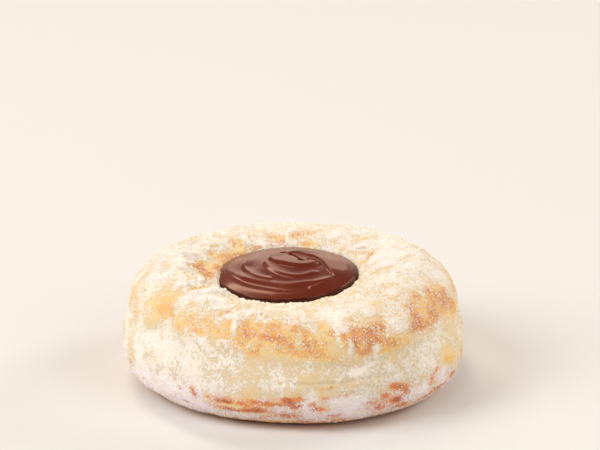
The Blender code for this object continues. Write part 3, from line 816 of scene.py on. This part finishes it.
def thrown(name, shape, faces, weight, finish, count, least, spread, raised, stretch, seed):
    """Copies of a small shape as one mesh, each stretched, turned by a random unit quaternion and moved to
    its spot. Its half width is the least one plus the spread times the square of an even random number."""
    spot, normal, draw = scattered(count, weight, seed)
    size = least + spread * draw.uniform(0, 1, count) ** 2
    spot = spot + normal * size[:, None] * raised
    quaternion = draw.normal(size=(count, 4))
    w, i, j, k = (quaternion / np.linalg.norm(quaternion, axis=1, keepdims=True)).T
    rotation = np.array(
        [
            [1 - 2 * (j * j + k * k), 2 * (i * j - k * w), 2 * (i * k + j * w)],
            [2 * (i * j + k * w), 1 - 2 * (i * i + k * k), 2 * (j * k - i * w)],
            [2 * (i * k - j * w), 2 * (j * k + i * w), 1 - 2 * (i * i + j * j)],
        ]
    ).transpose(2, 0, 1)
    scale = size[:, None] * draw.uniform(1.0 - stretch, 1.0 + stretch, (count, 3))
    shapes = shape[None] * scale[:, None] * draw.uniform(0.8, 1.2, (count, len(shape), 1))
    places = np.einsum("nij,nvj->nvi", rotation, shapes) + spot[:, None]
    indices = np.array(faces)[None] + (np.arange(count) * len(shape))[:, None, None]
    places = places.reshape(-1, 3)
    places[:, 2] = np.maximum(places[:, 2], 0.02)
    return mesh_piece(name, places, indices.reshape(-1, len(faces[0])).tolist(), finish, smooth=False)


def quartered_cube(corners):
    """The 24 squares of a cube whose sides are cut in four, facing outward, as indices of the corners."""
    numbers = {tuple(corner): number for number, corner in enumerate(corners.tolist())}
    squares = []
    for axis, side, u, v in itertools.product(range(3), (-1, 1), (-1, 0), (-1, 0)):
        square = [(u, v), (u + 1, v), (u + 1, v + 1), (u, v + 1)]
        if (axis == 1) == (side == 1):
            square.reverse()
        squares.append([numbers[(*place[:axis], side, *place[axis:])] for place in square])
    return squares


OCTAHEDRON = np.array([(1, 0, 0), (-1, 0, 0), (0, 1, 0), (0, -1, 0), (0, 0, 1), (0, 0, -1)], float)
OCTAHEDRON_FACES = [
    (0, 2, 4), (2, 1, 4), (1, 3, 4), (3, 0, 4), (2, 0, 5), (1, 2, 5), (3, 1, 5), (0, 3, 5),
]
CUBE = np.array(list(itertools.product((-1, 1), repeat=3)), float) * 0.62
CUBE_FACES = [(0, 1, 3, 2), (4, 6, 7, 5), (0, 4, 5, 1), (2, 3, 7, 6), (0, 2, 6, 4), (1, 5, 7, 3)]
PEBBLE = np.array([corner for corner in itertools.product((-1, 0, 1), repeat=3) if any(corner)], float)
PEBBLE_FACES = quartered_cube(PEBBLE)
PEBBLE /= np.linalg.norm(PEBBLE, axis=1, keepdims=True)

WHITE_GRAIN = (0.99, 0.93, 0.84)
CREAMY_GRAIN = (0.98, 0.88, 0.74)
CLEAR_GRAIN = (0.98, 0.86, 0.62)
AMBER_GRAIN = (0.96, 0.75, 0.45)

sugar = Finish("sugar")
high_sugar = sugar.mix(sugar.noise(1.8, 3.0), WHITE_GRAIN, CREAMY_GRAIN)
# Painted light: grains low on the doughnut take the same pinkish tint, standing in for the cooler light
# from below.
sugar.set(Base_Color=sugar.mix(sugar.step(sugar.height(), 0.003, 0.013), SUGAR_IN_PAINTED_COOL_LIGHT, high_sugar))
sugar.set(Roughness=0.5, Specular_IOR_Level=0.5, IOR=1.5)
clear_sugar = Finish("clear_sugar")
clear_sugar.set(Base_Color=clear_sugar.mix(clear_sugar.noise(0.8, 2.0), CLEAR_GRAIN, AMBER_GRAIN))
clear_sugar.set(Roughness=0.35, Specular_IOR_Level=0.5, IOR=1.5)

skin = skin_share * smooth_step(z, 0.6, 2.0)
powder_weight = skin * (0.08 + sugared_field) * (1.0 - 0.85 * band_share)
powder = thrown(
    "sugar_powder", OCTAHEDRON, OCTAHEDRON_FACES, powder_weight, sugar.material, **POWDER_GRAINS
)

crystal_weight = skin * (0.2 + 0.3 * sugared_field + 0.5 * browned_spots) * (1.0 - 0.93 * band_share)
crystal_weight = crystal_weight * (0.3 + smooth_step(lattice_noise(x, y, z, 4.0, 41), -0.5, 0.7))
crystals = thrown(
    "sugar_crystals", CUBE, CUBE_FACES, crystal_weight, clear_sugar.material, **CRYSTAL_GRAINS
)

# The front rim lies nearer to the crest at the sides than in the middle.
rim_down = np.interp(-np.sin(angle), (0.3, 0.5, 0.8, 1.0), (-1.0, -2.5, -4.9, -7.3))
on_rim = smooth_step(-np.sin(angle), 0.1, 0.45) * bell(down - rim_down, RIM_LUMPS_HALF_WIDTH)
lump_weight = skin * (on_rim + 0.03 * smooth_step(down, -13.0, -10.0) * (1.0 - smooth_step(down, 1.0, 6.0)))
lumps = thrown("sugar_lumps", PEBBLE, PEBBLE_FACES, lump_weight, sugar.material, **LUMP_GRAINS)

for piece in (powder, crystals, lumps):
    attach(piece, "root")


# The cream: chocolate cream, thick and glossy, piped into the well and turned clockwise with the tip of
# a knife, which left a spiral of crests. It ends in a pit and a small curl where the knife came away.
CREAM_REACH = 18.3
CREAM_EDGE_DEPTH = 0.4
CREAM_RISE = 3.2
CREAM_ROUND_STEPS = 320
CREAM_ROWS = 280
SWIRL_MIDDLE = (1.3, 2.2)
CREAM_CRESTS = (
    # The way each crest runs, clockwise seen from above, in millimetres from the well's middle; its
    # rise; how far it slopes off towards the swirl's middle, and how sharply; and how far away from it,
    # at the start and at the end.
    (
        ((7.9, 2.4), (7.8, 0.8), (6.5, -0.9), (4.9, -1.9), (2.2, -1.9), (-0.4, -0.5), (-2.2, 0.6),
         (-3.7, 2.2), (-4.2, 4.2), (-3.4, 7.0), (-1.2, 9.2)),
        0.80, 12.0, 1.3, (0.9, 0.9),
    ),
    (
        ((8.6, -4.0), (6.9, -5.6), (4.3, -7.1), (2.2, -7.5), (-0.4, -6.6), (-2.6, -4.9), (-4.6, -1.9),
         (-5.4, 1.4), (-4.9, 4.3), (-3.6, 7.4)),
        0.42, 4.0, 3.0, (0.8, 0.8),
    ),
    (
        ((-3.0, -9.3), (-4.6, -8.7), (-6.5, -7.6), (-8.4, -5.7), (-10.2, -2.6), (-10.9, 0.4), (-10.4, 4.0),
         (-8.6, 7.6)),
        0.50, 2.6, 2.0, (0.8, 0.8),
    ),
    (
        ((12.6, -4.6), (10.4, -8.4), (7.6, -10.4), (4.9, -11.2), (2.2, -11.9), (-0.4, -12.1), (-4.1, -11.0),
         (-8.4, -8.6), (-11.6, -5.6), (-13.9, -1.8), (-14.2, 2.4)),
        0.60, 4.5, 3.0, (1.5, 0.9),
    ),
    (
        ((5.4, -13.6), (7.6, -12.2), (9.4, -10.4), (10.9, -8.2)),
        0.45, 2.0, 2.0, (1.4, 1.4),
    ),
    (
        ((0.0, 9.6), (2.4, 8.4), (5.0, 6.8), (7.3, 4.8), (9.2, 1.6), (10.6, -2.4), (12.0, -5.8),
         (12.4, -8.6)),
        0.70, 0.8, 1.5, (5.0, 5.0),
    ),
)
CREAM_CURL = ((4.7, 1.2), (5.7, 1.9), (6.8, 2.4), (7.8, 2.1), (8.1, 1.0), (7.6, 0.0))
CREAM_SLIT = ((-2.2, 9.3), (0.1, 8.8), (1.4, 6.4), (2.4, 4.4), (3.4, 2.9), (4.0, 1.7))
CREAM_PIT = (4.0, 1.6)
STROKE_HALF_WIDTH = 0.42
CURL_HEIGHT = 0.55
SLIT_DEPTH = 1.5
PIT_DEPTH = 3.2
PIT_HALF_WIDTH = 0.72
SHOULDER_HEIGHT = 0.9
CREVICE_DEPTH = 2.0
RIPPLE_HEIGHT = 0.10
CREAM_BROWN = (0.120, 0.018, 0.009)
PALER_CREAM = (0.150, 0.024, 0.012)
# A painted shade: the dark colour of the cream's hem where the rim shades it.
HEM_PAINTED_SHADE = (0.038, 0.005, 0.003)
CREAM_PLUG = (
    # Radius and height of the rings down the sides of the well, where the dough hides them.
    (CREAM_REACH, 25.0),
    (CREAM_REACH - 0.8, 20.0),
    (CREAM_REACH - 4.0, 14.5),
    (9.0, 11.0),
)

share, angle = np.meshgrid(
    np.linspace(0.0, 1.0, CREAM_ROWS + 1)[1:] ** 0.85,
    np.arange(CREAM_ROUND_STEPS) / CREAM_ROUND_STEPS * 2 * math.pi,
    indexing="ij",
)
x = CREAM_REACH * share * np.cos(angle) + SWIRL_MIDDLE[0] * (1.0 - share**2)
y = CREAM_REACH * share * np.sin(angle) + SWIRL_MIDDLE[1] * (1.0 - share**2)
radius = np.hypot(x, y) / CREAM_REACH
crests = np.zeros(x.shape)
for path, rise, inside, sharpness, outside in CREAM_CRESTS:
    apart, along = beside(x, y, path)
    inner = np.clip(1.0 + apart / inside, 0.0, 1.0) ** sharpness
    reach_out = outside[0] + (outside[1] - outside[0]) * smooth_step(along, 0.45, 0.85)
    outer = (1.0 - smooth_step(apart / reach_out, -0.4, 1.6)) / (1.0 - smooth_step(0.0, -0.4, 1.6))
    ends = smooth_step(along, 0.0, 0.15) * (1.0 - smooth_step(along, 0.75, 1.0))
    crests = np.maximum(crests, rise * ends * np.where(apart < 0, inner, outer))
apart, along = beside(x, y, CREAM_CURL)
curl = CURL_HEIGHT * bell(apart, STROKE_HALF_WIDTH) * smooth_step(along, 0.0, 0.2)
crests += curl * (1.0 - smooth_step(along, 0.6, 1.0))
apart, along = beside(x, y, CREAM_SLIT)
crests -= SLIT_DEPTH * bell(apart, STROKE_HALF_WIDTH) * smooth_step(along, 0.0, 0.2)
crests -= PIT_DEPTH * bell(np.hypot(x - CREAM_PIT[0], y - CREAM_PIT[1]), PIT_HALF_WIDTH)
cone = 1.0 - np.clip(radius, 0, 1) ** 1.6
shoulder = SHOULDER_HEIGHT * (1.0 - smooth_step(radius, 0.80, 1.04))
crevice = smooth_step(-np.sin(angle), 0.1, 0.6) * smooth_step(radius, 0.945, 0.985)
dome = (CREAM_RISE - SHOULDER_HEIGHT) * cone + shoulder - CREVICE_DEPTH * crevice
z = WELL_EDGE_HEIGHT - CREAM_EDGE_DEPTH + dome + crests * (1.0 - smooth_step(radius, 0.88, 1.0))
z = z + RIPPLE_HEIGHT * lattice_noise(x, y, z, 5.0, 51)
x, y, z = settled(x, y, z)

# Painted shade: the hem, where the cream meets the dough, is painted darker, most in front, where it lies
# in the rim's shade, and less towards the back.
front_share = smooth_step(-np.sin(angle), -0.2, 0.8)
painted_hem_shade = radius + 0.02 * front_share + 0.008 * lattice_noise(x, y, z, 1.0, 52)
painted_hem_shade = smooth_step(painted_hem_shade, 0.952, 0.978) * (0.45 + 0.55 * front_share)

cream_finish = Finish("chocolate_cream")
cream_colour = cream_finish.mix(cream_finish.noise(3.0, 2.0), CREAM_BROWN, PALER_CREAM)
# Painted shade: the colour darkens at the hem, where the rim's shade falls on the cream.
cream_colour = cream_finish.mix(cream_finish.value("painted_hem_shade"), cream_colour, HEM_PAINTED_SHADE)
cream_finish.set(Base_Color=cream_colour)
cream_finish.set(Roughness=0.21, IOR=1.45, Specular_Tint=(1.0, 0.60, 0.42, 1.0))
cream_finish.set(Subsurface_Weight=0.1, Subsurface_Radius=(1.0, 0.4, 0.2), Subsurface_Scale=0.001)

around = angle[-1]
rings = [
    settled(ring_radius * np.cos(around), ring_radius * np.sin(around), np.full(around.shape, ring_height))
    for ring_radius, ring_height in CREAM_PLUG
]
places = np.vstack([np.stack(ring, axis=-1).reshape(-1, 3) for ring in [(x, y, z), *rings]])
painted_hem_shade = np.concatenate([painted_hem_shade.ravel(), np.ones(len(rings) * CREAM_ROUND_STEPS), [0.0, 1.0]])
poles = np.array(
    [
        [SWIRL_MIDDLE[0] + WELL_OFFSET_X, SWIRL_MIDDLE[1], z[0].mean()],
        [WELL_OFFSET_X, 0.0, WELL_FLOOR_HEIGHT + 1.0],
    ]
)
cream_rows = CREAM_ROWS + len(rings)
cream = mesh_piece(
    "chocolate_cream_swirl",
    np.vstack([places, poles]),
    ring_faces(cream_rows, CREAM_ROUND_STEPS),
    cream_finish.material,
    (("painted_hem_shade", painted_hem_shade),),
)
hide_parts("cream")
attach(cream, "root")
